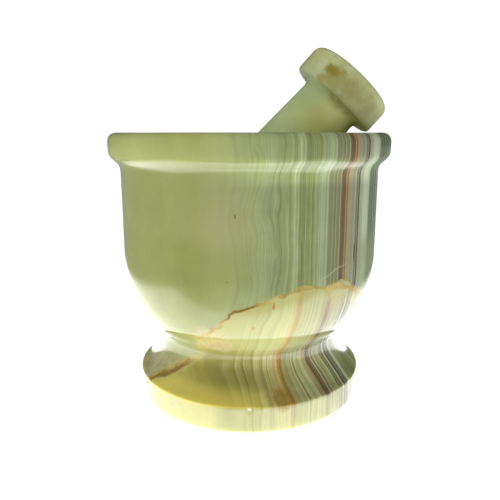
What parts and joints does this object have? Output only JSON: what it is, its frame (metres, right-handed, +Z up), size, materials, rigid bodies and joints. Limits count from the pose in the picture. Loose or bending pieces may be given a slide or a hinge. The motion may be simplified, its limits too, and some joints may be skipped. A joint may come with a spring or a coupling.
{
  "type": "mortar and pestle",
  "caption": "Footed stone mortar with a rolled rim, and a round-ended pestle with a disc knob leaning in its bowl.",
  "frame": {"origin": "centre of the foot's underside, where the mortar stands", "axes": "+Z up along the mortar's axis, +X towards the side that the pestle leans to"},
  "size_m": [0.1, 0.1, 0.1243],
  "materials": {
    "bowl_stone": "polished banded green onyx",
    "pestle_stone": "polished pale green onyx"
  },
  "bodies": {
    "mortar": {"mortar": "bowl_stone"},
    "pestle": {"pestle": "pestle_stone"}
  },
  "joints": [
    {"name": "pestle_lift", "type": "slide", "parent": "mortar", "child": "pestle", "axis": [0, 0, 1], "range_m": [0, 0.08]}
  ]
}
